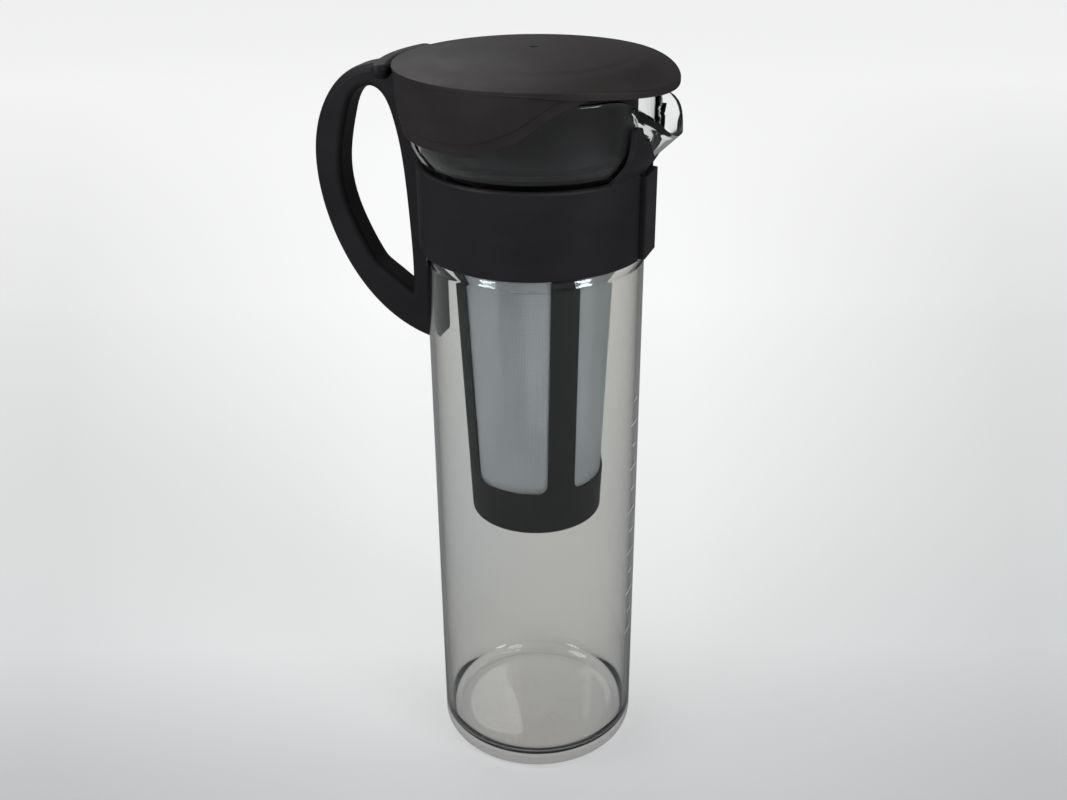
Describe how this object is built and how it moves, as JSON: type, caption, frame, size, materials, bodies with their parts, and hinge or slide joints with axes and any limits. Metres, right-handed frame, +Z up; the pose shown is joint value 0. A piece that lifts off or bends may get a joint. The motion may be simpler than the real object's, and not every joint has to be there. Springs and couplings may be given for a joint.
{
  "type": "cold brew coffee maker",
  "caption": "Tall glass jug with a poured beak, a plastic collar with a D-shaped handle, a lock bar, a hanging mesh strainer and a domed lid",
  "frame": {"origin": "centre of the jug's flat resting face", "axes": "+Z up along the jug's axis, +X to the beak, the handle at -X, +Y completes a right-handed frame"},
  "size_m": [0.1447, 0.1014, 0.297],
  "materials": {
    "glass": "clear heat-resistant glass, polished",
    "handle_plastic": "matt, finely textured moulded polypropylene, very dark brown-grey",
    "lid_plastic": "matt, finely textured moulded polypropylene, very dark brown-grey",
    "strainer_plastic": "matt, finely textured moulded polypropylene, very dark brown-grey",
    "mesh": "finely woven grey nylon mesh, slightly see-through"
  },
  "bodies": {
    "jug": {"glass_jug": "glass", "handle_collar": "handle_plastic"},
    "strainer": {"strainer_frame": "strainer_plastic", "mesh_panel_1": "mesh", "mesh_panel_2": "mesh", "mesh_panel_3": "mesh", "mesh_panel_4": "mesh"},
    "lid": {"lid": "lid_plastic"},
    "lock": {"collar_lock": "handle_plastic"}
  },
  "joints": [
    {"name": "strainer_lift", "type": "slide", "parent": "jug", "child": "strainer", "axis": [0, 0, 1], "range_m": [0, 0.18]},
    {"name": "lid_lift", "type": "slide", "parent": "strainer", "child": "lid", "axis": [0, 0, 1], "range_m": [0, 0.045]},
    {"name": "lock_slide", "type": "slide", "parent": "jug", "child": "lock", "axis": [0, 0, -1], "range_m": [0, 0.034]}
  ]
}
